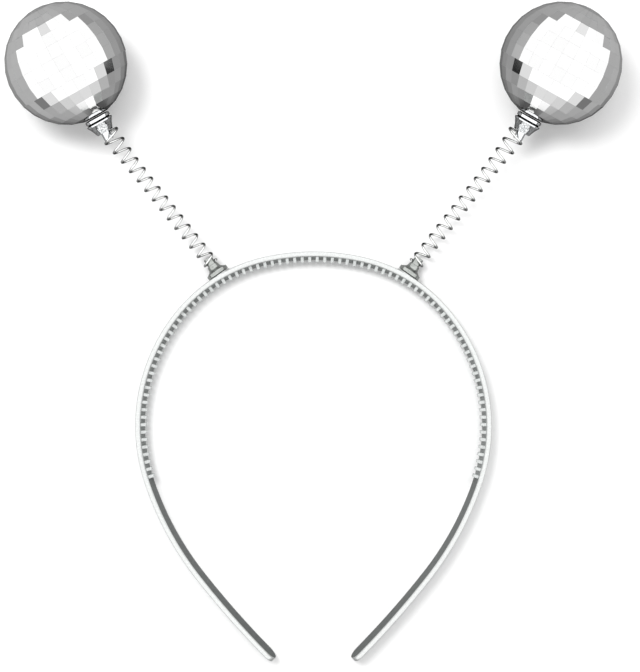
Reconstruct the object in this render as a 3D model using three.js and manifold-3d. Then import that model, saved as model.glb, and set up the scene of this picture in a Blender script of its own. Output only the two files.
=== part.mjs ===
// Head bopper: a plastic headband with two mirror-tile balls on coil springs.
// It lies flat on its band's lower edge, +Y points from the band to the balls, +Z is up.
// All sizes are in millimetres and all angles in degrees until they are used.
import * as THREE from 'three';
import { mergeVertices } from 'three/addons/utils/BufferGeometryUtils.js';
import Module from 'manifold-3d';

const wasm = await Module();
wasm.setup();

// Band
const archRise = 65.9;            // from the arch's centre to the outer face at its top
const crownRadius = 83.8;         // each radius is that of the outer face at the upper edge
const crownTurn = 12.5;
const cornerRadius = 57.8;
const cornerTurn = 35.7;
const sideRadius = 66.5;
const sideTurn = 59.9;
const shoulderRadius = 116.4;
const shoulderTurn = 20.1;
const armRadius = 344.5;
const armLength = 41.4;           // along the outer face
const bandThickness = 1.8;
const bandDepth = 9;              // across the band, here upright
const bandLean = 1.2;             // the upper edge stands this far outside the lower one
const edgeChamfer = 0.3;
const tipRadius = 3.6;            // rounds the upper and lower corner of each tip
const bandStep = 4;               // length of one facet of the band

// Comb teeth on the inner face
const toothPitch = 2.82;
const toothThickness = 1.2;
const toothReach = 1.6;           // from the inner face, at half the depth
const toothRootInset = 1.1;       // root to the band's edges
const toothTipInset = 2.4;        // tip to the band's edges
const toothEndDistance = 120;     // along the band, from the top of the arch

// Where the feet stand, and the boss under each
const footDistance = 35.55;       // along the band, from the top of the arch
const footTilt = 5;               // toward the ball, against the band's own outward direction
const bossRadius = 4.4;
const bossHeight = 0.6;           // above the outer face at half the depth

// Foot
const footBaseRadius = 4.2;
const footBaseHeight = 1.4;
const footFlareHeight = 2.5;
const footNeckRadius = 2.3;
const footHeight = 4.2;
const footTopRadius = 2;

// Spring
const wireDiameter = 0.8;
const springDiameter = 5.7;       // over the wire
const springCollarDiameter = 8;   // the last turns widen to this at the collar
const springFlareTurns = 5.5;
const springSideStep = 0.9;       // its last turn sits this far off the collar's axis
const springTurns = 13.55;        // open turns, with closed turns at each end of them
const footEndTurns = 0.6;
const collarEndTurns = 0.3;
const springStartAngle = 36;
const springCloseGap = 0.06;       // between neighbouring turns at the closed ends
const footLead = 4;               // how far the spring keeps each end's direction
const collarLead = 4;

// Spigots inside the ends of the spring
const spigotClearance = 0.35;
const spigotLength = 3;

// Collar between the ball and the spring
const collarGrooveRadius = 4.2;
const collarGrooveHeight = 0.2;   // each height is along the collar's own axis
const collarRingRadius = 4.75;
const collarRingHeight = 1.15;
const collarLineRadius = 4.35;
const collarLineHeight = 0.55;
const collarRimRadius = 5;
const collarRimHeight = 0.65;
const collarShoulderRadius = 4.8;
const collarShoulderHeight = 1.45;
const collarNeckRadius = 4;
const collarNeckHeight = 2.3;
const collarEndRadius = 3.05;

// Ball
const ballRadius = 22;
const ballTilesRound = 30;
const ballTileAngle = 12.3;       // one row of tiles, and the flat cap at the neck
const ballSpread = 89;            // from the middle of the band to each ball's centre
const ballReach = 132.8;          // from the arch's centre to the line of the balls' centres
const ballAxisAngle = 60.8;       // plan direction of the ball's neck, below the X axis
const ballAxisDrop = 11;          // how far the neck points down

// Clearance between pieces that touch, and how many sides the round pieces have
const gap = 0.3;
const turnedSides = 16;
const wireSides = 5;
const wireStepsPerTurn = 10;

const radians = THREE.MathUtils.degToRad;

// Solids to and from the boolean library

function toSolid(geometry) {
  const bare = geometry.clone();
  bare.deleteAttribute('normal');
  bare.deleteAttribute('uv');
  const merged = mergeVertices(bare, 1e-4);
  return new wasm.Manifold(new wasm.Mesh({
    numProp: 3,
    vertProperties: new Float32Array(merged.attributes.position.array),
    triVerts: new Uint32Array(merged.index.array),
  }));
}

function toGeometry(solid) {
  const mesh = solid.getMesh();
  const geometry = new THREE.BufferGeometry();
  geometry.setAttribute('position', new THREE.BufferAttribute(mesh.vertProperties, 3));
  geometry.setIndex(new THREE.BufferAttribute(mesh.triVerts, 1));
  geometry.computeVertexNormals();
  return geometry;
}

// Band line: crown, corner, side, shoulder and arm run on into each other, the same on both sides

const wallMiddleInset = bandThickness / 2 + bandLean / 2;
const middleArcs = [
  { radius: crownRadius - wallMiddleInset, turn: radians(crownTurn) },
  { radius: cornerRadius - wallMiddleInset, turn: radians(cornerTurn) },
  { radius: sideRadius - wallMiddleInset, turn: radians(sideTurn) },
  { radius: shoulderRadius - wallMiddleInset, turn: radians(shoulderTurn) },
  { radius: armRadius - wallMiddleInset, turn: armLength / armRadius },
];
const halfLength = middleArcs.reduce((sum, arc) => sum + arc.radius * arc.turn, 0);

// The point of the band's middle line at a distance from the top of the arch, and the way out there
function bandStation(distance) {
  const side = distance < 0 ? -1 : 1;
  const centre = new THREE.Vector3(0, archRise - crownRadius, 0);
  const outward = new THREE.Vector3();
  let left = Math.abs(distance);
  let turned = 0;
  for (const [index, arc] of middleArcs.entries()) {
    const isLast = index === middleArcs.length - 1;
    const angle = turned + (isLast ? left / arc.radius : Math.min(left / arc.radius, arc.turn));
    outward.set(Math.sin(angle), Math.cos(angle), 0);
    if (isLast || left <= arc.radius * arc.turn) {
      const point = outward.clone().multiplyScalar(arc.radius).add(centre);
      point.x *= side;
      outward.x *= side;
      return { point, outward };
    }
    left -= arc.radius * arc.turn;
    turned = angle;
    centre.addScaledVector(outward, arc.radius - middleArcs[index + 1].radius);
  }
}

class BandLine extends THREE.Curve {
  getPoint(t, target = new THREE.Vector3()) {
    return target.copy(bandStation((2 * t - 1) * halfLength).point);
  }
}

// How far out the wall's middle stands at a height, against the band line
function leanAt(height) {
  return bandLean * (height / bandDepth - 0.5);
}

// Across the band: x runs down from the upper edge and y runs outward, as the sweep needs them
function bandSection() {
  const corner = (height, outward) => new THREE.Vector2(-height, leanAt(height) + outward);
  const half = bandThickness / 2;
  const inner = half - edgeChamfer;
  return new THREE.Shape([
    corner(0, -inner),
    corner(edgeChamfer, -half),
    corner(bandDepth - edgeChamfer, -half),
    corner(bandDepth, -inner),
    corner(bandDepth, inner),
    corner(bandDepth - edgeChamfer, half),
    corner(edgeChamfer, half),
    corner(0, inner),
  ]);
}

// A frame on the band: x along it, y outward, z up
function bandFrame(distance) {
  const { point, outward } = bandStation(distance);
  const along = new THREE.Vector3().crossVectors(outward, new THREE.Vector3(0, 0, 1));
  return new THREE.Matrix4()
    .makeBasis(along, outward, new THREE.Vector3(0, 0, 1))
    .setPosition(point);
}

// What is cut off one corner of a tip: a square with a quarter circle kept
function tipCutter(side, upper) {
  const past = 1;
  const shape = new THREE.Shape();
  shape.moveTo(-tipRadius, 0);
  shape.absarc(-tipRadius, tipRadius, tipRadius, -Math.PI / 2, 0, false);
  shape.lineTo(past, tipRadius);
  shape.lineTo(past, -past);
  shape.lineTo(-tipRadius, -past);
  const width = 2 * (bandThickness + bandLean);
  const geometry = new THREE.ExtrudeGeometry(shape, {
    depth: width, bevelEnabled: false, curveSegments: 6,
  });
  geometry.translate(0, 0, -width / 2);
  geometry.rotateX(Math.PI / 2);
  if (upper) {
    geometry.rotateX(Math.PI);
    geometry.translate(0, 0, bandDepth);
  }
  if (side < 0) {
    geometry.rotateZ(Math.PI);
  }
  return geometry.applyMatrix4(bandFrame(side * halfLength));
}

// One comb tooth, upright across the band, with its root inside the wall
function tooth(distance) {
  const face = -bandThickness / 2;
  const root = (height) => new THREE.Vector2(face + leanAt(height) + bandThickness / 2, height);
  const tip = (height) => new THREE.Vector2(face - toothReach, height);
  const shape = new THREE.Shape([
    root(toothRootInset),
    root(bandDepth - toothRootInset),
    tip(bandDepth - toothTipInset),
    tip(toothTipInset),
  ]);
  const geometry = new THREE.ExtrudeGeometry(shape, { depth: toothThickness, bevelEnabled: false });
  geometry.translate(0, 0, -toothThickness / 2);
  geometry.applyMatrix4(new THREE.Matrix4().makeBasis(
    new THREE.Vector3(0, 1, 0),
    new THREE.Vector3(0, 0, 1),
    new THREE.Vector3(1, 0, 0),
  ));
  return geometry.applyMatrix4(bandFrame(distance));
}

// A round piece turned from a profile of [radius, height] points, with its axis on +Y
function turned(profile, sides = turnedSides) {
  return new THREE.LatheGeometry(profile.map(([radius, height]) => new THREE.Vector2(radius, height)), sides);
}

// Places on one side: side is -1 on the left and 1 on the right

const springHeight = bandDepth / 2;

function footDirection(side) {
  const { outward } = bandStation(side * footDistance);
  return outward.applyAxisAngle(new THREE.Vector3(0, 0, 1), -side * radians(footTilt));
}

// A point on the foot's axis at a height above the boss
function footPoint(side, height) {
  const { point, outward } = bandStation(side * footDistance);
  return point
    .setZ(springHeight)
    .addScaledVector(outward, bandThickness / 2 + bossHeight)
    .addScaledVector(footDirection(side), height);
}

function ballCentre(side) {
  return new THREE.Vector3(side * ballSpread, ballReach, ballRadius);
}

// From the ball's centre out of its neck
function neckDirection(side) {
  const level = Math.cos(radians(ballAxisDrop));
  return new THREE.Vector3(
    -side * level * Math.cos(radians(ballAxisAngle)),
    -level * Math.sin(radians(ballAxisAngle)),
    -Math.sin(radians(ballAxisDrop)),
  );
}

const tileRowAngle = radians(ballTileAngle);
const capHeight = ballRadius * Math.cos(tileRowAngle);
const collarSeat = capHeight + gap;
const collarLineStart = collarGrooveHeight + collarRingHeight;
const collarRimStart = collarLineStart + collarLineHeight;
const collarShoulderStart = collarRimStart + collarRimHeight;
const collarNeckStart = collarShoulderStart + collarShoulderHeight;
const collarHeight = collarNeckStart + collarNeckHeight;
const spigotRadius = springDiameter / 2 - wireDiameter - spigotClearance;

// Spring: a round wire wound about a line that leaves the foot and enters the collar straight

function springLine(side) {
  const start = footPoint(side, gap + footHeight);
  const neck = neckDirection(side);
  const inward = new THREE.Vector3(neck.y, -neck.x, 0).normalize().multiplyScalar(side);
  const end = ballCentre(side)
    .addScaledVector(neck, collarSeat + collarHeight)
    .addScaledVector(inward, springSideStep);
  return new THREE.CubicBezierCurve3(
    start,
    start.clone().addScaledVector(footDirection(side), footLead),
    end.clone().addScaledVector(neck, collarLead),
    end,
  );
}

class WoundWire extends THREE.Curve {
  constructor(side) {
    super();
    this.side = side;
    this.line = springLine(side);
    this.lineLength = this.line.getLength();
    this.turns = footEndTurns + springTurns + collarEndTurns;
    this.closedPitch = wireDiameter + springCloseGap;
    this.endInset = gap + wireDiameter / 2;
    const closed = (footEndTurns + collarEndTurns) * this.closedPitch;
    this.openPitch = (this.lineLength - 2 * this.endInset - closed) / springTurns;
  }

  // Distance along the line after a number of turns
  advance(turn) {
    const first = Math.min(turn, footEndTurns);
    const open = Math.min(Math.max(turn - footEndTurns, 0), springTurns);
    const last = Math.max(turn - footEndTurns - springTurns, 0);
    return this.endInset + (first + last) * this.closedPitch + open * this.openPitch;
  }

  getPoint(t, target = new THREE.Vector3()) {
    const turn = t * this.turns;
    const u = this.advance(turn) / this.lineLength;
    const angle = radians(springStartAngle) - turn * 2 * Math.PI;
    const tangent = this.line.getTangentAt(u);
    const across = new THREE.Vector3(tangent.y, -tangent.x, 0).normalize().multiplyScalar(-this.side);
    const up = new THREE.Vector3().crossVectors(across, tangent).multiplyScalar(-this.side).normalize();
    const radius = this.windingRadius(turn);
    return target
      .copy(this.line.getPointAt(u))
      .addScaledVector(across, radius * Math.cos(angle))
      .addScaledVector(up, radius * Math.sin(angle));
  }

  // Radius of the wire's middle about the line
  windingRadius(turn) {
    const flare = Math.max(0, 1 - (this.turns - turn) / springFlareTurns) ** 2;
    return (THREE.MathUtils.lerp(springDiameter, springCollarDiameter, flare) - wireDiameter) / 2;
  }
}

function wireSection() {
  const corners = [];
  for (let corner = 0; corner < wireSides; corner += 1) {
    const angle = 2 * Math.PI * corner / wireSides;
    corners.push(new THREE.Vector2(Math.cos(angle), Math.sin(angle)).multiplyScalar(wireDiameter / 2));
  }
  return new THREE.Shape(corners);
}

// Pieces

function headbandGeometry() {
  const steps = 2 * Math.round(halfLength / bandStep);
  let solid = toSolid(new THREE.ExtrudeGeometry(bandSection(), { steps, extrudePath: new BandLine() }));
  for (const side of [-1, 1]) {
    for (const upper of [false, true]) {
      solid = solid.subtract(toSolid(tipCutter(side, upper)));
    }
    const bossRoot = -bossHeight - bandThickness / 2;
    const boss = turned([[0, bossRoot], [bossRadius, bossRoot], [bossRadius, 0], [0, 0]]);
    solid = solid.add(toSolid(placeTurned(boss, footPoint(side, 0), footDirection(side))));
  }
  for (let distance = toothPitch / 2; distance <= toothEndDistance; distance += toothPitch) {
    solid = solid.add(toSolid(tooth(distance))).add(toSolid(tooth(-distance)));
  }
  return toGeometry(solid);
}

// Turns a piece's own +Y to a direction and moves its origin to a point
function placeTurned(geometry, point, direction) {
  const turn = new THREE.Quaternion().setFromUnitVectors(new THREE.Vector3(0, 1, 0), direction);
  return geometry.applyQuaternion(turn).translate(point.x, point.y, point.z);
}

function footGeometry() {
  return turned([
    [0, 0],
    [footBaseRadius, 0],
    [footBaseRadius, footBaseHeight],
    [(footBaseRadius + footNeckRadius) / 2, (footBaseHeight + footFlareHeight) / 2],
    [footNeckRadius, footFlareHeight],
    [footTopRadius, footHeight],
    [spigotRadius, footHeight],
    [spigotRadius, footHeight + spigotLength],
    [0, footHeight + spigotLength],
  ]);
}

function collarGeometry() {
  return turned([
    [0, 0],
    [collarGrooveRadius, 0],
    [collarGrooveRadius, collarGrooveHeight],
    [collarRingRadius, collarGrooveHeight],
    [collarRingRadius, collarLineStart],
    [collarLineRadius, collarLineStart],
    [collarLineRadius, collarRimStart],
    [collarRimRadius, collarRimStart],
    [collarRimRadius, collarShoulderStart],
    [collarShoulderRadius, collarShoulderStart],
    [collarNeckRadius, collarNeckStart],
    [collarEndRadius, collarHeight],
    [spigotRadius, collarHeight],
    [spigotRadius, collarHeight + spigotLength],
    [0, collarHeight + spigotLength],
  ]);
}

function ballGeometry() {
  const lastRow = Math.ceil(Math.PI / tileRowAngle) - 1;
  const edge = (row) => [ballRadius * Math.sin(row * tileRowAngle), ballRadius * Math.cos(row * tileRowAngle)];
  const profile = [[0, edge(lastRow)[1]]];
  for (let row = lastRow; row >= 1; row -= 1) {
    profile.push(edge(row));
  }
  profile.push([0, capHeight]);
  return turned(profile, ballTilesRound);
}

function springGeometry(side) {
  const wire = new WoundWire(side);
  const steps = Math.round(wire.turns * wireStepsPerTurn);
  return new THREE.ExtrudeGeometry(wireSection(), { steps, extrudePath: wire });
}

// Materials

const finishes = {
  band: { color: 0xc9cccb, roughness: 0.35, metalness: 0.2 },
  foot: { color: 0x9ea39f, roughness: 0.35, metalness: 0.4 },
  spring: { color: 0xd6d8d8, roughness: 0.2, metalness: 1 },
  collar: { color: 0xe0e2e3, roughness: 0.1, metalness: 1 },
  ball: { color: 0xb9bbbb, roughness: 0.08, metalness: 1 },
};

function piece(name, geometry, finish) {
  const mesh = new THREE.Mesh(geometry, new THREE.MeshStandardMaterial(finish));
  mesh.name = name;
  return mesh;
}

// A turned piece stands at its place in the scene, with its own axis on +Y
function stand(mesh, point, direction) {
  mesh.position.copy(point);
  mesh.quaternion.setFromUnitVectors(new THREE.Vector3(0, 1, 0), direction);
  return mesh;
}

// Assembly

const model = new THREE.Group();
model.add(piece('headband', headbandGeometry(), finishes.band));
for (const [side, name] of [[-1, 'left'], [1, 'right']]) {
  const neck = neckDirection(side);
  const centre = ballCentre(side);
  const assembly = new THREE.Group();
  assembly.add(stand(piece(`foot_${name}`, footGeometry(), finishes.foot),
    footPoint(side, gap), footDirection(side)));
  assembly.add(piece(`spring_${name}`, springGeometry(side), finishes.spring));
  assembly.add(stand(piece(`collar_${name}`, collarGeometry(), finishes.collar),
    centre.clone().addScaledVector(neck, collarSeat), neck));
  assembly.add(stand(piece(`ball_${name}`, ballGeometry(), finishes.ball), centre, neck));
  model.add(assembly);
}

// The origin is the middle of the whole object on the surface that it lies on
const bounds = new THREE.Box3().setFromObject(model, true);
const middle = bounds.getCenter(new THREE.Vector3());
model.position.set(-middle.x, -middle.y, -bounds.min.z);

const group = new THREE.Group();
group.add(model);
export default group;
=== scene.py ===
# %% [markdown]
# # A head bopper with two mirror balls
# The real object is a silver plastic headband with a comb inside it. A small foot on each
# side of it carries a coil spring, and each spring carries a ball of mirror tiles in a chrome
# collar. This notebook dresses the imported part: it loads the solids as a fixed frame, builds
# each visible piece in finer detail in the same place, and gives each one a finish made of nodes.

# %% Load the frame
import math
import random

import bmesh
import bpy
from mathutils import Matrix, Quaternion, Vector


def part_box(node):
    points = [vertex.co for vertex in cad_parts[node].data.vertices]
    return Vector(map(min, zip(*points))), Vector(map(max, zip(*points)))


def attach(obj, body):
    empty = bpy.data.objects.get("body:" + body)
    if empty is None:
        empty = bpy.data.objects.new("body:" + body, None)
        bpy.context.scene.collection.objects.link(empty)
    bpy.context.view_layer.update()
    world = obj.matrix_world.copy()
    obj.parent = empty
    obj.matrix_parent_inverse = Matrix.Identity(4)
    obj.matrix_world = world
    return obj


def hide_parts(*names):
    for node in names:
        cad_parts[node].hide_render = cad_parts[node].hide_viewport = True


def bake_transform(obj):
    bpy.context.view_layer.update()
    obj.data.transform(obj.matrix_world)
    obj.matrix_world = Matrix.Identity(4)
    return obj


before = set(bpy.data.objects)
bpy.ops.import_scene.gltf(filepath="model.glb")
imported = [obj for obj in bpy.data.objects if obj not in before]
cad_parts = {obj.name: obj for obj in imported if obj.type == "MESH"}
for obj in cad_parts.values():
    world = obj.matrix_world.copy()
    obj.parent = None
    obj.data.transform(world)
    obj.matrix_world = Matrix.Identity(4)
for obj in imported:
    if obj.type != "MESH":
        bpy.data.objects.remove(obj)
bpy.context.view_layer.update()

# %% [markdown]
# Blender works in metres and the sizes of such an object are told in millimetres, so every
# size below is in millimetres and is multiplied by MM when it becomes a place in the scene.
# The part's drawing is measured from the centre of the band's arch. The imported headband's own
# box says where that centre lies in the scene.

# %% Millimetres and the drawing frame
MM = 0.001
ARCH_RISE = 65.9        # from the arch's centre up to the outer face at the top of the band
SIDES = {"left": -1, "right": 1}

DRAWING_SHIFT = Vector((0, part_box("headband")[1][1] / MM - ARCH_RISE, 0))
print("drawing frame is shifted by", round(DRAWING_SHIFT.y, 3), "mm")

# %% [markdown]
# ## Making meshes
# Most pieces here are swept: a ring of points is carried along a line, and neighbouring rings
# are joined by four-sided faces. One function does that for the band, the wire and every
# turned piece. The alternative, a curve object with a bevel, gives less say over which faces
# get which finish.

# %% Turn points into a mesh piece
def mesh_piece(name, points, faces, material_numbers=None, smooth=True):
    mesh = bpy.data.meshes.new(name)
    mesh.from_pydata([tuple((Vector(p) + DRAWING_SHIFT) * MM) for p in points], [], faces)
    mesh.update()
    if material_numbers:
        mesh.polygons.foreach_set("material_index", material_numbers)
    mesh.polygons.foreach_set("use_smooth", [smooth] * len(mesh.polygons))
    piece = bpy.data.objects.new(name, mesh)
    bpy.context.collection.objects.link(piece)
    return piece


def joined_rings(rings, closed_ring=True, caps=True):
    points = [p for ring in rings for p in ring]
    size = len(rings[0])
    faces = []
    for k in range(len(rings) - 1):
        for j in range(size if closed_ring else size - 1):
            a, b = k * size + j, k * size + (j + 1) % size
            faces.append((a, b, b + size, a + size))
    if caps:
        faces.append(tuple(reversed(range(size))))
        faces.append(tuple(range(len(points) - size, len(points))))
    return points, faces


def paint_points(piece, layer_name, tones):
    layer = piece.data.color_attributes.new(layer_name, "FLOAT_COLOR", "POINT")
    for value, tone in zip(layer.data, tones):
        value.color = (tone, tone, tone, 1)


def dress(piece, *finishes):
    for finish in finishes:
        piece.data.materials.append(finish)


def face_outward(piece):
    work = bmesh.new()
    work.from_mesh(piece.data)
    bmesh.ops.recalc_face_normals(work, faces=work.faces)
    work.to_mesh(piece.data)
    work.free()
    return piece


# %% [markdown]
# Real moulded and turned parts have no knife edges. This helper rounds the corners of an
# outline: each corner point is swapped for a short arc that starts and ends a little way
# before and after it.

# %% Round the corners of an outline
def rounded(outline, radius, arc_points=4):
    result = [Vector(outline[0])]
    for before, corner, after in zip(outline, outline[1:], outline[2:]):
        before, corner, after = Vector(before), Vector(corner), Vector(after)
        back, ahead = before - corner, after - corner
        reach = min(radius, 0.45 * back.length, 0.45 * ahead.length)
        start = corner + back.normalized() * reach
        end = corner + ahead.normalized() * reach
        for k in range(arc_points + 1):
            t = k / arc_points
            result.append(start * (1 - t) ** 2 + corner * 2 * t * (1 - t) + end * t ** 2)
    result.append(Vector(outline[-1]))
    return result


# %% Turn an outline of (radius, height) about an axis
AXIS_GAP = 0.3          # a turned outline starts and ends this far from its axis


def turned_rings(outline, seat, direction, sides):
    turn = Vector((0, 1, 0)).rotation_difference(direction)
    rings = []
    for radius, height in outline:
        ring = []
        for k in range(sides):
            angle = 2 * math.pi * k / sides
            ring.append(seat + turn @ Vector((radius * math.cos(angle), height, radius * math.sin(angle))))
        rings.append(ring)
    return rings


def turned_piece(name, outline, seat, direction, number_of=lambda a, b: 0, sides=72):
    points, faces = joined_rings(turned_rings(outline, seat, direction, sides))
    numbers = []
    for before, after in zip(outline, outline[1:]):
        numbers += [number_of(before, after)] * sides
    return face_outward(mesh_piece(name, points, faces, numbers + [0, 0]))


# %% [markdown]
# ## Making finishes
# Paint shops give colours as screen colours, and Blender's shaders want linear light, so one
# function turns a hex colour to linear. One more adds a node with its settings and links.
# Every finish below is made with just these two.

# %% Colours and nodes
def linear(hex_colour):
    parts = [int(hex_colour[k:k + 2], 16) / 255 for k in (1, 3, 5)]
    return tuple(c / 12.92 if c <= 0.04045 else ((c + 0.055) / 1.055) ** 2.4 for c in parts) + (1,)


def add_node(material, kind, settings=None, links=None):
    node = material.node_tree.nodes.new(kind)
    for key, value in (settings or {}).items():
        if key in node.inputs:
            node.inputs[key].default_value = value
        else:
            setattr(node, key, value)
    for key, source in (links or {}).items():
        material.node_tree.links.new(source, node.inputs[key])
    return node


def new_finish(name):
    material = bpy.data.materials.new(name)
    material.use_nodes = True
    material.node_tree.nodes.clear()
    return material


def end_finish(material, shader):
    output = add_node(material, "ShaderNodeOutputMaterial")
    material.node_tree.links.new(shader.outputs[0], output.inputs["Surface"])
    return material


# %% [markdown]
# The next helper gives a material a slow mottling between two tones and a fine bump. Both
# come from noise in object space, so they stay on the piece when the camera moves. Noise
# scale is in waves per metre: a grain of 0.5 mm needs a scale of about 2000.

# %% Mottled tone and fine bump
MOTTLE_RANGE = 0.35, 0.65       # noise values at which the two tones are reached


def mottled(material, tone_a, tone_b, grain_mm, detail=3):
    place = add_node(material, "ShaderNodeTexCoord")
    noise = add_node(material, "ShaderNodeTexNoise", {"Scale": 1 / (grain_mm * MM), "Detail": detail},
                     {"Vector": place.outputs["Object"]})
    ramp = add_node(material, "ShaderNodeValToRGB", links={"Fac": noise.outputs["Fac"]})
    ramp.color_ramp.elements[0].position = MOTTLE_RANGE[0]
    ramp.color_ramp.elements[0].color = linear(tone_a)
    ramp.color_ramp.elements[1].position = MOTTLE_RANGE[1]
    ramp.color_ramp.elements[1].color = linear(tone_b)
    return ramp.outputs["Color"]


def fine_bump(material, grain_mm, height_mm, strength):
    place = add_node(material, "ShaderNodeTexCoord")
    noise = add_node(material, "ShaderNodeTexNoise", {"Scale": 1 / (grain_mm * MM), "Detail": 2},
                     {"Vector": place.outputs["Object"]})
    bump = add_node(material, "ShaderNodeBump", {"Distance": height_mm * MM, "Strength": strength},
                    {"Height": noise.outputs["Fac"]})
    return bump.outputs["Normal"]


# %% [markdown]
# ### Silver-sprayed ABS
# The headband is injection-moulded ABS, sprayed with silver lacquer from outside and above.
# Lacquer with fine aluminium flake looks like a soft metal: it takes a broad bright sheen
# from the sky and no sharp image. Metallic is high, and roughness is middling.

# %% Silver-sprayed ABS
def silver_sprayed_abs():
    material = new_finish("silver_sprayed_ABS")
    shader = add_node(material, "ShaderNodeBsdfPrincipled",
                      {"Metallic": 0.75, "Roughness": 0.34},
                      {"Base Color": mottled(material, "#cbcdcc", "#d8dad9", 0.6),
                       "Normal": fine_bump(material, 0.25, 0.01, 0.25)})
    return end_finish(material, shader)


# %% [markdown]
# ### Grey ABS with painted shade
# The inner face of the arms stands upright, away from the light that falls on the rim. Its faces
# get a much darker, duller grey: painted shade, and this is what draws the dark line inside the
# rim. Behind the teeth the same finish is used a little paler, as a lighter painted shade.

# %% Grey ABS with painted shade
def shaded_face_grey_abs(name, tone_a, tone_b):
    material = new_finish(name)
    shader = add_node(material, "ShaderNodeBsdfPrincipled",
                      {"Metallic": 0.0, "Roughness": 0.5, "IOR": 1.53, "Specular IOR Level": 0.25},
                      {"Base Color": mottled(material, tone_a, tone_b, 0.9),
                       "Normal": fine_bump(material, 0.3, 0.01, 0.3)})
    return end_finish(material, shader)


# %% [markdown]
# The teeth get a paler, flatter grey than the rim, a painted shade that lets them sit as light
# grey in the band's shadow on the table. The dark face between them shows as a row of dashes.

# %% Teeth with painted shade
def teeth_painted_shade_abs():
    material = new_finish("teeth_painted_shade_ABS")
    shader = add_node(material, "ShaderNodeBsdfPrincipled",
                      {"Metallic": 0.3, "Roughness": 0.5, "IOR": 1.53},
                      {"Base Color": mottled(material, "#bcbfbe", "#d2d5d4", 0.7),
                       "Normal": fine_bump(material, 0.25, 0.01, 0.3)})
    return end_finish(material, shader)


SILVER_SPRAYED_ABS = silver_sprayed_abs()
# Painted shade: the dark grey of the inner face and the paler grey behind the comb.
INNER_FACE_PAINTED_SHADE = shaded_face_grey_abs("inner_face_painted_shade_ABS", "#505352", "#616463")
COMB_FACE_PAINTED_SHADE = shaded_face_grey_abs("comb_face_painted_shade_ABS", "#7d807f", "#8f9291")
# Painted shade too: the teeth's paler, flatter grey.
TEETH_PAINTED_SHADE = teeth_painted_shade_abs()

# %% [markdown]
# ## The band
# From above, the band is a chain of arcs that run on into each other: a flat crown, a tighter
# corner, the side, the shoulder and the nearly straight arm. The wall stands upright on its
# lower edge and leans out by a little over a millimetre, so from above we see its bright upper rim
# and a sliver of its dark inner face.

# %% The band's line
BAND_THICKNESS = 1.8
BAND_DEPTH = 9
BAND_LEAN = 1.2
OUTER_ARCS = [(83.8, 12.5), (57.8, 35.7), (66.5, 59.9), (116.4, 20.1)]   # radius, degrees of turn
ARM_RADIUS = 344.5
ARM_LENGTH = 41.4
WALL_INSET = (BAND_THICKNESS + BAND_LEAN) / 2

MIDDLE_ARCS = [(radius - WALL_INSET, math.radians(turn)) for radius, turn in OUTER_ARCS]
MIDDLE_ARCS.append((ARM_RADIUS - WALL_INSET, ARM_LENGTH / ARM_RADIUS))
HALF_LENGTH = sum(radius * turn for radius, turn in MIDDLE_ARCS)


def band_station(distance):
    side = -1 if distance < 0 else 1
    left, turned = abs(distance), 0
    centre = Vector((0, ARCH_RISE - OUTER_ARCS[0][0], 0))
    for k, (radius, turn) in enumerate(MIDDLE_ARCS):
        last = k == len(MIDDLE_ARCS) - 1
        angle = turned + (left / radius if last else min(left / radius, turn))
        outward = Vector((math.sin(angle), math.cos(angle), 0))
        if last or left <= radius * turn:
            point = centre + outward * radius
            return Vector((side * point.x, point.y, 0)), Vector((side * outward.x, outward.y, 0))
        left -= radius * turn
        turned = angle
        centre += outward * (radius - MIDDLE_ARCS[k + 1][0])


def lean_at(height):
    return BAND_LEAN * (height / BAND_DEPTH - 0.5)


print("band length over the arch:", round(2 * HALF_LENGTH), "mm")

# %% [markdown]
# The wall's section is a rounded bar. Near each tip its two edges draw in along a quarter
# circle, which rounds the tip as seen from the side. Rings stand close together there.

# %% Sweep the wall
EDGE_RADIUS = 0.75
TIP_RADIUS = 3.6
RING_STEP = 1.2


def wall_outline(low, high):
    half = BAND_THICKNESS / 2
    corners = [(-half, (low + high) / 2), (-half, high), (half, high), (half, low), (-half, low),
               (-half, (low + high) / 2)]
    return rounded(corners, EDGE_RADIUS, 5)[:-1]


def tip_inset(distance):
    into = TIP_RADIUS - (HALF_LENGTH - abs(distance))
    if into <= 0:
        return 0
    return TIP_RADIUS - math.sqrt(max(0, TIP_RADIUS ** 2 - into ** 2))


def wall_ring(distance):
    point, outward = band_station(distance)
    inset = tip_inset(distance)
    ring = []
    for across, height in wall_outline(inset, BAND_DEPTH - inset):
        ring.append(point + outward * (across + lean_at(height)) + Vector((0, 0, height)))
    return ring


half_places = [HALF_LENGTH - TIP_RADIUS * (1 - math.sin(math.pi / 2 * k / 9)) for k in range(10)]
straight = half_places[0]
steps = round(straight / RING_STEP)
half_places = [straight * k / steps for k in range(1, steps)] + half_places
places = [-d for d in reversed(half_places)] + [0] + half_places
wall_points, wall_faces = joined_rings([wall_ring(d) for d in places])
ring_size = len(wall_outline(0, BAND_DEPTH))

# %% [markdown]
# The faces that lie wholly on the flat of the inner face get a grey finish with painted shade:
# the paler one behind the comb and the darker one further down. The rest keeps the silver spray.
# The first and the last edge of the outline are the flat's halves.

# %% Which faces get the painted shade
TOOTH_END = 120         # along the middle of the band, from its top to the end of the comb
FLAT_TOLERANCE = 0.02
outline = wall_outline(0, BAND_DEPTH)


def on_inner_flat(k):
    a, b = outline[k], outline[(k + 1) % ring_size]
    return max(abs(p[0] + BAND_THICKNESS / 2) for p in (a, b)) < FLAT_TOLERANCE


wall_numbers = []
for before, after in zip(places, places[1:]):
    face_number = 3 if abs(before + after) / 2 < TOOTH_END else 1
    wall_numbers += [face_number if on_inner_flat(k) else 0 for k in range(ring_size)]
wall_numbers += [0, 0]
print("band wall:", len(places), "rings of", ring_size, "points")

# %% [markdown]
# Each comb tooth is a thin upright bar that tapers toward its tip. One tooth is made with
# bevelled edges and then copied along the band at the pitch of the real comb.

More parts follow.
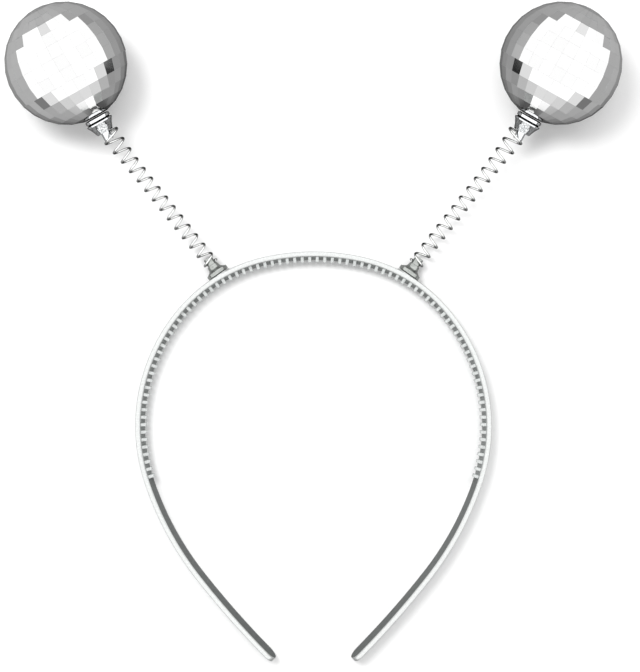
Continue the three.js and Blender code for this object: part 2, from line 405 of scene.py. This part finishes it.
# %% The comb teeth
TOOTH_PITCH = 2.82
TOOTH_THICKNESS = 1.2
TOOTH_REACH = 1.6
TOOTH_ROOT = 1.1, 7.9           # lowest and highest point where the tooth leaves the band
TOOTH_TIP = 2.4, 6.6            # and the same at its free end
TOOTH_BEVEL = 0.22


def tooth_shape():
    tip = -BAND_THICKNESS / 2 - TOOTH_REACH
    corners = [(lean_at(height), height) for height in TOOTH_ROOT]
    corners += [(tip, TOOTH_TIP[1]), (tip, TOOTH_TIP[0])]
    shape = bmesh.new()
    for x in (-TOOTH_THICKNESS / 2, TOOTH_THICKNESS / 2):
        for out, height in corners:
            shape.verts.new((x, out, height))
    shape.verts.ensure_lookup_table()
    v = shape.verts
    shape.faces.new([v[k] for k in (0, 1, 2, 3)])
    shape.faces.new([v[k] for k in (7, 6, 5, 4)])
    for k in range(4):
        n = (k + 1) % 4
        shape.faces.new((v[k], v[k + 4], v[n + 4], v[n]))
    bmesh.ops.recalc_face_normals(shape, faces=shape.faces)
    bmesh.ops.bevel(shape, geom=list(shape.edges), offset=TOOTH_BEVEL, segments=2, affect="EDGES",
                    profile=0.6)
    shape.verts.index_update()
    result = [v.co.copy() for v in shape.verts], [tuple(v.index for v in f.verts) for f in shape.faces]
    shape.free()
    return result


tooth_points, tooth_faces = tooth_shape()
tooth_places = []
distance = TOOTH_PITCH / 2
while distance <= TOOTH_END:
    tooth_places += [distance, -distance]
    distance += TOOTH_PITCH
for place in tooth_places:
    point, outward = band_station(place)
    along = outward.cross(Vector((0, 0, 1)))
    first = len(wall_points)
    wall_points += [point + along * p.x + outward * p.y + Vector((0, 0, p.z)) for p in tooth_points]
    wall_faces += [tuple(first + k for k in face) for face in tooth_faces]
    wall_numbers += [2] * len(tooth_faces)
print("teeth:", len(tooth_places))

# %% [markdown]
# A low round boss on the outer face carries each foot. It leans a few degrees toward its ball
# with the foot.

# %% Where the feet stand
FOOT_DISTANCE = 35.55
FOOT_TILT = 5
BOSS_RADIUS = 4.4
BOSS_HEIGHT = 0.6
BOSS_ROUNDING = 0.25
GAP = 0.3               # left open between two pieces, as in the solids


def foot_direction(side):
    outward = band_station(side * FOOT_DISTANCE)[1]
    return Matrix.Rotation(-side * math.radians(FOOT_TILT), 3, "Z") @ outward


def foot_point(side, height):
    point, outward = band_station(side * FOOT_DISTANCE)
    base = point + outward * (BAND_THICKNESS / 2 + BOSS_HEIGHT)
    return base + Vector((0, 0, BAND_DEPTH / 2)) + foot_direction(side) * height


def boss_points(side):
    corners = [(BOSS_RADIUS, -BOSS_HEIGHT - BAND_THICKNESS / 2), (BOSS_RADIUS, 0), (0.5, 0)]
    outline = rounded(corners, BOSS_ROUNDING)
    return joined_rings(turned_rings(outline, foot_point(side, 0), foot_direction(side), 48))


for side in SIDES.values():
    points, faces = boss_points(side)
    first = len(wall_points)
    wall_points += points
    wall_faces += [tuple(first + k for k in face) for face in faces]
    wall_numbers += [0] * len(faces)

# %% Finish the headband
headband = face_outward(mesh_piece("headband_moulding", wall_points, wall_faces, wall_numbers))
dress(headband, SILVER_SPRAYED_ABS, INNER_FACE_PAINTED_SHADE, TEETH_PAINTED_SHADE, COMB_FACE_PAINTED_SHADE)
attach(headband, "headband")
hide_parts("headband")
print("headband faces:", len(headband.data.polygons))

# %% [markdown]
# ## The feet
# Each foot is a small turned-looking moulding in a grey-green glossy plastic: a flat disc, a
# short flare and a neck where the spring begins, with a spigot inside its first turns. The
# plastic mirrors the room almost as strongly as a metal does, so its metallic value is high
# and its roughness low.

# %% Grey-green plastic
def grey_green_plastic():
    material = new_finish("grey_green_polystyrene")
    shader = add_node(material, "ShaderNodeBsdfPrincipled",
                      {"Metallic": 0.8, "Roughness": 0.13, "IOR": 1.59},
                      {"Base Color": mottled(material, "#9a9d9a", "#afb2af", 1.2),
                       "Normal": fine_bump(material, 0.6, 0.01, 0.2)})
    return end_finish(material, shader)


GREY_GREEN_PLASTIC = grey_green_plastic()

# %% Turn the feet
FOOT_BASE_RADIUS = 4.2
FOOT_BASE_HEIGHT = 1.4
FOOT_LIP_WIDTH = 0.4
FOOT_LIP_RISE = 0.1
FOOT_NECK_RADIUS = 2.3
FOOT_FLARE_HEIGHT = 2.5
FOOT_FLARE_BEND = 0.2
FOOT_ROUNDING = 0.3
FOOT_TOP_RADIUS = 2
FOOT_HEIGHT = 4.2
SPIGOT_RADIUS = 1.7
SPIGOT_LENGTH = 3


def foot_outline():
    return rounded([
        (AXIS_GAP, 0), (FOOT_BASE_RADIUS, 0), (FOOT_BASE_RADIUS, FOOT_BASE_HEIGHT),
        (FOOT_BASE_RADIUS - FOOT_LIP_WIDTH, FOOT_BASE_HEIGHT + FOOT_LIP_RISE),
        (FOOT_NECK_RADIUS + 0.3, FOOT_FLARE_HEIGHT - FOOT_FLARE_BEND),
        (FOOT_NECK_RADIUS, FOOT_FLARE_HEIGHT + FOOT_FLARE_BEND),
        (FOOT_TOP_RADIUS, FOOT_HEIGHT), (SPIGOT_RADIUS, FOOT_HEIGHT),
        (SPIGOT_RADIUS, FOOT_HEIGHT + SPIGOT_LENGTH), (AXIS_GAP, FOOT_HEIGHT + SPIGOT_LENGTH)], FOOT_ROUNDING)


for name, side in SIDES.items():
    seat = foot_point(side, GAP)
    foot = turned_piece(f"foot_moulding_{name}", foot_outline(), seat, foot_direction(side))
    dress(foot, GREY_GREEN_PLASTIC)
    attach(foot, "headband")
    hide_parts(f"foot_{name}")

# %% [markdown]
# ## The balls
# The neck of each ball points back to the band and a little down, because the spring holds
# the ball by it while both lie on the table. Rows of tiles run round that axis, from the
# collar to the far pole, and their columns follow its meridians.

# %% Where a ball sits and how it points
BALL_RADIUS = 22
BALL_SPREAD = 89        # in the drawing, from the middle of the band out to each ball's centre
BALL_REACH = 132.8      # and from the arch's centre up to it
BALL_AXIS_ANGLE = 60.8
BALL_AXIS_DROP = 11


def ball_centre(side):
    return Vector((side * BALL_SPREAD, BALL_REACH, BALL_RADIUS))


def neck_direction(side):
    drop, plan = math.radians(BALL_AXIS_DROP), math.radians(BALL_AXIS_ANGLE)
    level = math.cos(drop)
    return Vector((-side * level * math.cos(plan), -level * math.sin(plan), -math.sin(drop)))


def ball_frame(side):
    neck = neck_direction(side)
    up = (Vector((0, 0, 1)) - neck * neck.z).normalized()
    across = up.cross(neck) * side
    return neck, up, across


# %% [markdown]
# ### Silvered tiles
# Each tile is flat float glass with a silver coat behind it. Flatness is what makes a mirror
# ball: a whole tile shows one patch of the room. So every tile is its own flat face with dull
# sides, and neighbours differ by a fraction of a degree, as glued tiles do. A tile's tone is
# stored with its corners, and the finish reads it.

# %% Silvered glass
def silvered_glass():
    material = new_finish("silvered_glass_tiles")
    tone = add_node(material, "ShaderNodeAttribute", {"attribute_name": "tile_tone"})
    shader = add_node(material, "ShaderNodeBsdfPrincipled",
                      {"Metallic": 1.0, "Roughness": 0.05},
                      {"Base Color": tone.outputs["Color"]})
    return end_finish(material, shader)


def dark_grout():
    material = new_finish("tile_joint_adhesive")
    shader = add_node(material, "ShaderNodeBsdfPrincipled",
                      {"Metallic": 0.0, "Roughness": 0.6, "IOR": 1.5},
                      {"Base Color": mottled(material, "#8a8c8c", "#9c9e9e", 0.5)})
    return end_finish(material, shader)


SILVERED_GLASS = silvered_glass()
DARK_GROUT = dark_grout()

# %% [markdown]
# From above, a tile that leans less than about 45 degrees shows the bright softbox and one
# that leans more shows the table. The tiles in between are glued a few degrees off the true
# sphere, so each shows clearly one or the other. That gives the bright cap its stepped edge,
# seven tiles wide in most rows, six in the two nearest to the neck and five in the last. Some
# tiles near the neck and one in the last row get a darker tone: painted reflection, standing in
# for the shade they would mirror. The tiles that show the softbox get a lower tone than the ring,
# which keeps their reflection just under white. In the list of painted tones, as in that of the
# bright ones, a tile is named by its row from the neck and its place round the axis.

# %% Which tiles show the sky
TILE_ANGLE = math.radians(12.3)
TILES_ROUND = 30
SHIFTED_ROWS = 5                # rows up to this one are laid half a tile further round
BRIGHT_REACH = {4: 36, 5: 36, 6: 42, 7: 42, 8: 42, 9: 42, 10: 30}    # by row: degrees each way
SKY_LEAN = math.radians(39)
TABLE_LEAN = math.radians(50)
CAP_LEAN = math.radians(6)      # the middle of the bright cap leans this far toward the band
BRIGHT_TONE = 0.69
RING_TONE = 0.85
# Painted reflection: these tiles' darker tones stand in for the shade they would mirror.
PAINTED_REFLECTION_TONES = {                  # by row and degrees round the axis
    (4, -30): 0.3, (4, -18): 0.42, (4, -6): 0.48, (4, 6): 0.48, (4, 18): 0.42, (4, 30): 0.3,
    (5, -42): 0.75, (5, -30): 0.5, (5, 30): 0.5, (5, 42): 0.36, (10, 0): 0.52}


def tile_place(row, column):
    return (column + (0.5 if row <= SHIFTED_ROWS else 0)) * 360 / TILES_ROUND


def is_bright(row, column):
    return abs(tile_place(row, column)) < BRIGHT_REACH.get(row, 0)


def tone_of(row, column):
    usual = BRIGHT_TONE if is_bright(row, column) else RING_TONE
    return PAINTED_REFLECTION_TONES.get((row, round(tile_place(row, column))), usual)


def aimed(normal, side, bright):
    neck = neck_direction(side)
    level = Vector((neck.x, neck.y, 0)).normalized()
    cap = Vector((0, 0, 1)) * math.cos(CAP_LEAN) + level * math.sin(CAP_LEAN)
    lean = normal.angle(cap)
    wanted = min(lean, SKY_LEAN) if bright else max(lean, TABLE_LEAN)
    return Quaternion(cap.cross(normal).normalized(), wanted - lean) if wanted != lean else Quaternion()


# %% Lay the tiles
TILE_JOINT = 0.01
TILE_TILT = 0.4
TILE_DEPTH = 0.45
TONE_SPREAD = 0.03
TILE_SPHERE = BALL_RADIUS - 0.03
FAR_POLE = math.pi - 0.02       # where the last row of tiles ends
dice = random.Random(7)


def sphere_point(side, theta, phi):
    neck, up, across = ball_frame(side)
    return ball_centre(side) + TILE_SPHERE * (
        neck * math.cos(theta) + (up * math.cos(phi) + across * math.sin(phi)) * math.sin(theta))


def tile_corners(side, row, column):
    low, high = row * TILE_ANGLE, min((row + 1) * TILE_ANGLE, FAR_POLE)
    middle, half = math.radians(tile_place(row, column)), math.pi / TILES_ROUND
    return [sphere_point(side, theta, phi) for theta, phi in (
        (low, middle - half), (low, middle + half), (high, middle + half), (high, middle - half))]


def tile_points(corners, side, bright):
    middle = sum(corners, Vector()) / 4
    normal = (middle - ball_centre(side)).normalized()
    tilts = []
    for k in (1, 3):
        tilt = math.radians(dice.uniform(-TILE_TILT, TILE_TILT))
        tilts.append(Quaternion((corners[k] - corners[0]).normalized(), tilt))
    narrow = min((corners[3] - corners[0]).length, (corners[3] - corners[2]).length)
    shrink = 1 - 2 * TILE_JOINT / max(0.6, narrow)
    turn = aimed(normal, side, bright) @ tilts[0] @ tilts[1]
    face = [middle + turn @ ((corner - middle) * shrink) for corner in corners]
    return face + [p - normal * TILE_DEPTH for p in face]


def lay_tiles(side):
    points, faces, tones, numbers = [], [], [], []
    for row in range(1, math.ceil(math.pi / TILE_ANGLE)):
        for column in range(-TILES_ROUND // 2, TILES_ROUND // 2):
            first = len(points)
            points += tile_points(tile_corners(side, row, column), side, is_bright(row, column))
            faces.append(tuple(first + k for k in (0, 1, 2, 3)))
            for k in range(4):
                n = (k + 1) % 4
                faces.append((first + k, first + n, first + 4 + n, first + 4 + k))
            tones += [tone_of(row, column) + dice.uniform(-TONE_SPREAD, TONE_SPREAD)] * 8
            numbers += [0, 1, 1, 1, 1]
    return points, faces, tones, numbers


for name, side in SIDES.items():
    points, faces, tones, numbers = lay_tiles(side)
    tiles = face_outward(mesh_piece(f"mirror_tiles_{name}", points, faces, numbers, smooth=False))
    paint_points(tiles, "tile_tone", tones)
    dress(tiles, SILVERED_GLASS, DARK_GROUT)
    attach(tiles, f"{name}_ball")
    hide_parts(f"ball_{name}")
    print(tiles.name, "faces:", len(tiles.data.polygons))

# %% [markdown]
# Behind the joints lies the moulded core that the tiles are glued to. It is a plain sphere a
# little smaller than the tiles, cut flat where the collar sits.

# %% The core behind the joints
CORE_RADIUS = 21.45
CORE_POLE = math.pi - 0.03


def core_outline():
    steps = 40
    angles = [CORE_POLE - (CORE_POLE - TILE_ANGLE) * k / steps for k in range(steps + 1)]
    arc = [(CORE_RADIUS * math.sin(a), CORE_RADIUS * math.cos(a)) for a in angles]
    return arc + [(AXIS_GAP, arc[-1][1])]


for name, side in SIDES.items():
    core = turned_piece(f"ball_core_{name}", core_outline(), ball_centre(side), neck_direction(side))
    dress(core, DARK_GROUT)
    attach(core, f"{name}_ball")

# %% [markdown]
# ## The collars
# A collar is spun brass, chrome plated: a black groove against the ball, a bright ring, a dark
# line, a rim, and then a finely knurled shoulder down to the spring. Chrome shows the room
# almost without loss. The groove and the line are painted near black, as painted shade for the
# gap at the ball and the shaded recess between ring and rim, and the knurling breaks up the
# reflection into small light and dark spots.

# %% Chrome and the painted shade in its grooves
def chrome_plate():
    material = new_finish("chrome_plated_brass")
    shader = add_node(material, "ShaderNodeBsdfPrincipled",
                      {"Metallic": 1.0, "Roughness": 0.07},
                      {"Base Color": mottled(material, "#dcdee0", "#eceef0", 1.5),
                       "Normal": fine_bump(material, 1.2, 0.02, 0.25)})
    return end_finish(material, shader)


def painted_groove_shade():
    material = new_finish("groove_and_line_painted_shade")
    shader = add_node(material, "ShaderNodeBsdfPrincipled",
                      {"Metallic": 0.0, "Roughness": 0.8, "IOR": 1.5, "Specular IOR Level": 0.05},
                      {"Base Color": mottled(material, "#060607", "#0e0e0f", 0.4)})
    return end_finish(material, shader)


def knurled_chrome():
    material = new_finish("knurled_chrome")
    shader = add_node(material, "ShaderNodeBsdfPrincipled",
                      {"Metallic": 1.0, "Roughness": 0.12},
                      {"Base Color": mottled(material, "#8b8d8e", "#dfe1e2", 0.5),
                       "Normal": fine_bump(material, 0.5, 0.05, 0.35)})
    return end_finish(material, shader)


CHROME_PLATE = chrome_plate()
# Painted shade: the near-black finish in the groove and the line.
GROOVE_PAINTED_SHADE = painted_groove_shade()
KNURLED_CHROME = knurled_chrome()

# %% Turn the collars
COLLAR_SEAT = BALL_RADIUS * math.cos(TILE_ANGLE) + GAP
GROOVE_RADIUS, GROOVE_HEIGHT = 4.2, 0.2
RING_RADIUS, RING_HEIGHT = 4.75, 1.15
LINE_RADIUS, LINE_HEIGHT = 4.35, 0.55
RIM_RADIUS, RIM_HEIGHT = 5, 0.65
SHOULDER_RADIUS, SHOULDER_HEIGHT = 4.8, 1.45
NECK_RADIUS, NECK_HEIGHT = 4, 2.3
COLLAR_END_RADIUS = 3.05
EDGE_ROUNDING = 0.1             # the painted shade in the groove and the line covers their rounded edges
LINE_START = GROOVE_HEIGHT + RING_HEIGHT
RIM_START = LINE_START + LINE_HEIGHT
SHOULDER_START = RIM_START + RIM_HEIGHT
NECK_START = SHOULDER_START + SHOULDER_HEIGHT
COLLAR_HEIGHT = NECK_START + NECK_HEIGHT


def collar_outline():
    spigot_end = COLLAR_HEIGHT + SPIGOT_LENGTH
    return rounded([
        (AXIS_GAP, 0), (GROOVE_RADIUS, 0), (GROOVE_RADIUS, GROOVE_HEIGHT), (RING_RADIUS, GROOVE_HEIGHT),
        (RING_RADIUS, LINE_START), (LINE_RADIUS, LINE_START), (LINE_RADIUS, RIM_START),
        (RIM_RADIUS, RIM_START), (RIM_RADIUS, SHOULDER_START), (SHOULDER_RADIUS, SHOULDER_START),
        (NECK_RADIUS, NECK_START), (COLLAR_END_RADIUS, COLLAR_HEIGHT), (SPIGOT_RADIUS, COLLAR_HEIGHT),
        (SPIGOT_RADIUS, spigot_end), (AXIS_GAP, spigot_end)], EDGE_ROUNDING)


def collar_finish(before, after):
    height = (before[1] + after[1]) / 2
    in_groove = height < GROOVE_HEIGHT + EDGE_ROUNDING
    in_line = LINE_START - EDGE_ROUNDING < height < RIM_START + EDGE_ROUNDING
    if in_groove or in_line:
        return 1
    return 2 if SHOULDER_START < height < COLLAR_HEIGHT - EDGE_ROUNDING else 0


for name, side in SIDES.items():
    neck = neck_direction(side)
    seat = ball_centre(side) + neck * COLLAR_SEAT
    collar = turned_piece(f"collar_plated_{name}", collar_outline(), seat, neck, collar_finish)
    dress(collar, CHROME_PLATE, GROOVE_PAINTED_SHADE, KNURLED_CHROME)
    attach(collar, f"{name}_ball")
    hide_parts(f"collar_{name}")

# %% [markdown]
# ## The springs
# A spring is drawn wire, nickel plated and wound open so that the ball can sway. It stands on
# the foot's neck at one end, and at the other its turns widen toward the collar. The wire
# follows a helix round a line that leaves the foot and enters the collar. Where the wire turns
# round the sides of the coil its colour is mixed to near black: a painted reflection of the
# dark table just below. Each ring of the wire carries a value for that painted reflection, and
# the finish reads it.

# %% Nickel-plated wire
def nickel_wire():
    material = new_finish("nickel_plated_spring_wire")
    painted_side_shade = add_node(material, "ShaderNodeAttribute", {"attribute_name": "painted_side_shade"})
    # Painted reflection: toward the sides of the coil the colour is mixed to near black.
    tone = add_node(material, "ShaderNodeMixRGB", {"Color2": linear("#1c1d1d")},
                    {"Fac": painted_side_shade.outputs["Fac"], "Color1": mottled(material, "#dcdddc", "#eeefee", 0.8)})
    shader = add_node(material, "ShaderNodeBsdfPrincipled",
                      {"Metallic": 1.0, "Roughness": 0.1},
                      {"Base Color": tone.outputs["Color"],
                       "Normal": fine_bump(material, 0.3, 0.008, 0.25)})
    return end_finish(material, shader)


NICKEL_WIRE = nickel_wire()

# %% The line that the spring is wound on
SPRING_SIDE_STEP = 0.9
END_LEAD = 4


def spring_ends(side):
    neck = neck_direction(side)
    start = foot_point(side, GAP + FOOT_HEIGHT)
    inward = Vector((neck.y, -neck.x, 0)).normalized() * side
    end = ball_centre(side) + neck * (COLLAR_SEAT + COLLAR_HEIGHT) + inward * SPRING_SIDE_STEP
    return start, start + foot_direction(side) * END_LEAD, end + neck * END_LEAD, end


def spring_line(side, samples=400):
    a, b, c, d = spring_ends(side)
    points = []
    for k in range(samples + 1):
        t = k / samples
        points.append(a * (1 - t) ** 3 + b * 3 * t * (1 - t) ** 2 + c * 3 * t ** 2 * (1 - t) + d * t ** 3)
    lengths = [0]
    for before, after in zip(points, points[1:]):
        lengths.append(lengths[-1] + (after - before).length)
    return points, lengths


def on_line(points, lengths, distance):
    low, high = 0, len(lengths) - 1
    while high - low > 1:
        middle = (low + high) // 2
        low, high = (middle, high) if lengths[middle] <= distance else (low, middle)
    t = (distance - lengths[low]) / (lengths[high] - lengths[low])
    return points[low].lerp(points[high], t), (points[high] - points[low]).normalized()


# %% Wind the wire
WIRE_DIAMETER = 0.8
SPRING_DIAMETER = 5.7
SPRING_COLLAR_DIAMETER = 8
FLARE_TURNS = 5.5
OPEN_TURNS = 13.55
FOOT_END_TURNS = 0.6
COLLAR_END_TURNS = 0.3
START_ANGLE = math.radians(36)
TURNS = FOOT_END_TURNS + OPEN_TURNS + COLLAR_END_TURNS
STEPS_PER_TURN = 40
WIRE_SIDES = 12
CLOSE_GAP = 0.06                # between two of the closer turns at an end
SIDE_SHADE_SHARPNESS = 7              # higher keeps the dark tone nearer to the sides of the coil


def wire_middle(side, line, turn):
    points, lengths = line
    inset = GAP + WIRE_DIAMETER / 2
    closed = WIRE_DIAMETER + CLOSE_GAP
    pitch = (lengths[-1] - 2 * inset - (FOOT_END_TURNS + COLLAR_END_TURNS) * closed) / OPEN_TURNS
    first = min(turn, FOOT_END_TURNS)
    middle = min(max(turn - FOOT_END_TURNS, 0), OPEN_TURNS)
    last = max(turn - FOOT_END_TURNS - OPEN_TURNS, 0)
    place, tangent = on_line(points, lengths, inset + (first + last) * closed + middle * pitch)
    across = Vector((tangent.y, -tangent.x, 0)).normalized() * -side
    up = (across.cross(tangent) * -side).normalized()
    flare = max(0, 1 - (TURNS - turn) / FLARE_TURNS) ** 2
    diameter = SPRING_DIAMETER + (SPRING_COLLAR_DIAMETER - SPRING_DIAMETER) * flare
    angle = START_ANGLE - turn * 2 * math.pi
    outward = across * math.cos(angle) + up * math.sin(angle)
    return place + outward * (diameter - WIRE_DIAMETER) / 2, outward, abs(math.cos(angle)) ** SIDE_SHADE_SHARPNESS


def wire_rings(side):
    line = spring_line(side)
    steps = round(TURNS * STEPS_PER_TURN)
    places = [wire_middle(side, line, TURNS * k / steps) for k in range(steps + 1)]
    rings = []
    for k, (middle, outward, painted_side_shade) in enumerate(places):
        along = (places[min(k + 1, steps)][0] - places[max(k - 1, 0)][0]).normalized()
        out = (outward - along * outward.dot(along)).normalized()
        side_way = along.cross(out)
        rings.append([middle + (out * math.cos(a) + side_way * math.sin(a)) * WIRE_DIAMETER / 2
                      for a in (2 * math.pi * j / WIRE_SIDES for j in range(WIRE_SIDES))])
    return rings, [place[2] for place in places]


# %% [markdown]
# Two hinges in the part's record stand in for the bending of the whole spring. Each blend can
# cross just one of them, so the wire is made as two pieces that meet in the middle.

# %% Make each spring in two pieces
def body_pair_span(side, start, end):
    ends = spring_ends(side)
    places = [ends[0].lerp(ends[3], share) for share in (start, end)]
    return [tuple((p + DRAWING_SHIFT) * MM) for p in places]


for name, side in SIDES.items():
    rings, painted_side_shades = wire_rings(side)
    half = len(rings) // 2
    for part, chosen, bodies, span in (
            ("lower", slice(0, half + 1), ("headband", f"{name}_spring"), (0.17, 0.49)),
            ("upper", slice(half, None), (f"{name}_spring", f"{name}_ball"), (0.51, 0.83))):
        points, faces = joined_rings(rings[chosen])
        wire = face_outward(mesh_piece(f"spring_wire_{part}_{name}", points, faces))
        paint_points(wire, "painted_side_shade", [painted_side_shade for painted_side_shade in painted_side_shades[chosen] for side_number in range(WIRE_SIDES)])
        dress(wire, NICKEL_WIRE)
        start, end = body_pair_span(side, *span)
        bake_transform(wire)
        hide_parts(f"spring_{name}")

# %% [markdown]
# ## The stage
# The object lies on a plain white table. The table is retouched to pure white in such product
# photos, while the metal keeps the duller table that it really saw. The floor's finish does
# the same: only rays that come from a reflection meet its greyer side.

# %% Shade under the object
def shade(material, folded, middle, radii, turn_degrees):
    place = add_node(material, "ShaderNodeMapping",
                     {"vector_type": "TEXTURE", "Location": tuple(c * MM for c in middle) + (0,),
                      "Rotation": (0, 0, math.radians(turn_degrees)),
                      "Scale": tuple(r * MM for r in radii) + (1,)},
                     {"Vector": folded})
    return add_node(material, "ShaderNodeTexGradient", {"gradient_type": "SPHERICAL"},
                    {"Vector": place.outputs[0]}).outputs["Fac"]


# %% [markdown]
# The mirrored table is darkest where the balls and springs stand close over it, a little darker
# between the balls than outside them, and bright in the middle of the arch, where nothing
# shades it. Both sides are alike, so the place is folded over the middle line first.

# %% The floor
BALL_SHADE = (89, 98), (55, 55), 0      # each: middle and radii in millimetres, degrees of turn
SPRING_SHADE = (58, 53), (44, 15), 52
ARCH_LIGHT = (5, -42), (85, 85), 0
SHADE_TONE = 0.3                        # how much of its light is left to a shaded place
MIDDLE_TONE, OUTER_TONE = 0.24, 0.36
OUTER_PLACE = 0.16                      # metres from the middle line to the outer tone


def white_table():
    material = new_finish("white_table_laminate")
    place = add_node(material, "ShaderNodeTexCoord")
    split = add_node(material, "ShaderNodeSeparateXYZ", links={0: place.outputs["Object"]})
    outward = add_node(material, "ShaderNodeMath", {"operation": "ABSOLUTE"}, {0: split.outputs["X"]})
    folded = add_node(material, "ShaderNodeCombineXYZ",
                      links={"X": outward.outputs[0], "Y": split.outputs["Y"]})
    side_tone = add_node(material, "ShaderNodeMapRange",
                         {"From Max": OUTER_PLACE, "To Min": MIDDLE_TONE, "To Max": OUTER_TONE},
                         {"Value": outward.outputs[0]})
    under_ball = add_node(material, "ShaderNodeMapRange",
                          {"From Max": 0.6, "To Min": 1, "To Max": SHADE_TONE},
                          {"Value": shade(material, folded.outputs[0], *BALL_SHADE)})
    under_spring = add_node(material, "ShaderNodeMapRange",
                            {"From Max": 0.45, "To Min": 1, "To Max": SHADE_TONE},
                            {"Value": shade(material, folded.outputs[0], *SPRING_SHADE)})
    both = add_node(material, "ShaderNodeMath", {"operation": "MULTIPLY"},
                    {0: under_ball.outputs[0], 1: under_spring.outputs[0]})
    shaded = add_node(material, "ShaderNodeMath", {"operation": "MULTIPLY"},
                      {0: both.outputs[0], 1: side_tone.outputs[0]})
    in_arch = shade(material, folded.outputs[0], *ARCH_LIGHT)
    tone = add_node(material, "ShaderNodeMath", {"operation": "ADD", "use_clamp": True},
                    {0: shaded.outputs[0], 1: in_arch})
    path = add_node(material, "ShaderNodeLightPath")
    seen = add_node(material, "ShaderNodeBsdfDiffuse", {"Color": linear("#f3f3f3")})
    mirrored = add_node(material, "ShaderNodeBsdfDiffuse", links={"Color": tone.outputs[0]})
    shader = add_node(material, "ShaderNodeMixShader", links={
        0: path.outputs["Is Glossy Ray"], 1: seen.outputs[0], 2: mirrored.outputs[0]})
    return end_finish(material, shader)


FLOOR_REACH = 0.6
FLOOR_DROP = 0.0001                     # keeps the floor just clear of the undersides
floor_corners = [(x * FLOOR_REACH, y * FLOOR_REACH, 0) for x, y in ((-1, -1), (1, -1), (1, 1), (-1, 1))]
floor_mesh = bpy.data.meshes.new("floor")
floor_mesh.from_pydata(floor_corners, [], [(0, 1, 2, 3)])
floor = bpy.data.objects.new("floor", floor_mesh)
bpy.context.collection.objects.link(floor)
dress(floor, white_table())
floor.location.z = -FLOOR_DROP

# %% [markdown]
# ## Light and camera
# An even white surround fills the shadows. A key softbox at the upper left casts the narrow
# ones beside the band and the springs, and a wide, weaker one higher up softens those of the
# balls. Metal sees a brighter surround than the table does, as it would under a wide softbox,
# with a dark gap between the softbox and the table's edge. That gap puts the black accents on
# the chrome. The camera looks straight down and sees plain white behind everything.

# %% Surround and lamps
DARK_GAP = 0.08, 0.13           # heights of the view direction where the gap ends and the softbox begins
GAP_STRENGTH, SOFTBOX_STRENGTH = 0.06, 1.5
TABLE_STRENGTH = 0.72           # of the surround, as plain surfaces are lit by it
world = bpy.data.worlds.new("studio")
bpy.context.scene.world = world
world.use_nodes = True
world.node_tree.nodes.clear()
path = add_node(world, "ShaderNodeLightPath")
direction = add_node(world, "ShaderNodeTexCoord")
height = add_node(world, "ShaderNodeSeparateXYZ", links={0: direction.outputs["Generated"]})
above_gap = add_node(world, "ShaderNodeMapRange",
                     {"From Min": DARK_GAP[0], "From Max": DARK_GAP[1],
                      "To Min": GAP_STRENGTH, "To Max": SOFTBOX_STRENGTH},
                     {"Value": height.outputs["Z"]})
strength = add_node(world, "ShaderNodeMapRange", {"To Min": TABLE_STRENGTH},
                    {"Value": path.outputs["Is Glossy Ray"], "To Max": above_gap.outputs[0]})
seen_strength = add_node(world, "ShaderNodeMath", {"operation": "MAXIMUM"},
                         {0: path.outputs["Is Camera Ray"], 1: strength.outputs[0]})
background = add_node(world, "ShaderNodeBackground", {"Color": (1, 1, 1, 1)},
                      {"Strength": seen_strength.outputs[0]})
world_output = add_node(world, "ShaderNodeOutputWorld", links={"Surface": background.outputs[0]})

# %% [markdown]
# The lamps are told by their angles in degrees, where a bearing turns from +X toward +Y, by
# their length and depth in metres and by their power.

# %% The two softboxes
LAMP_DISTANCE = 1.1


def add_lamp(name, elevation, bearing, along, deep, energy):
    data = bpy.data.lights.new(name, "AREA")
    data.shape = "ELLIPSE"
    data.size = along
    data.size_y = deep
    data.energy = energy
    lamp = bpy.data.objects.new(name, data)
    bpy.context.collection.objects.link(lamp)
    rise, turn = math.radians(elevation), math.radians(bearing)
    toward = Vector((math.cos(rise) * math.cos(turn), math.cos(rise) * math.sin(turn), math.sin(rise)))
    lamp.location = toward * LAMP_DISTANCE
    lamp.rotation_mode = "QUATERNION"
    lamp.rotation_quaternion = toward.to_track_quat("Z", "Y")
    lamp.visible_glossy = False     # in reflections the bright surround stands for the softboxes


add_lamp("key_softbox", 65, 137, 0.4, 0.4, 5.2)
add_lamp("fill_softbox", 73, 85, 1.0, 0.3, 3.6)

# %% Camera
PICTURE_HEIGHT_PIXELS = 672
FOCAL_PIXELS = 1745
SENSOR_WIDTH = 36
CAMERA_PLACE = 0.0024, 0, 0.65
camera_data = bpy.data.cameras.new("camera")
camera_data.sensor_width = SENSOR_WIDTH
camera_data.lens = SENSOR_WIDTH * FOCAL_PIXELS / PICTURE_HEIGHT_PIXELS
camera_data.clip_start = 0.01
camera = bpy.data.objects.new("camera", camera_data)
bpy.context.collection.objects.link(camera)
camera.location = CAMERA_PLACE
bpy.context.scene.camera = camera

# %% View settings
bpy.context.scene.view_settings.view_transform = "Standard"
bpy.context.scene.view_settings.look = "None"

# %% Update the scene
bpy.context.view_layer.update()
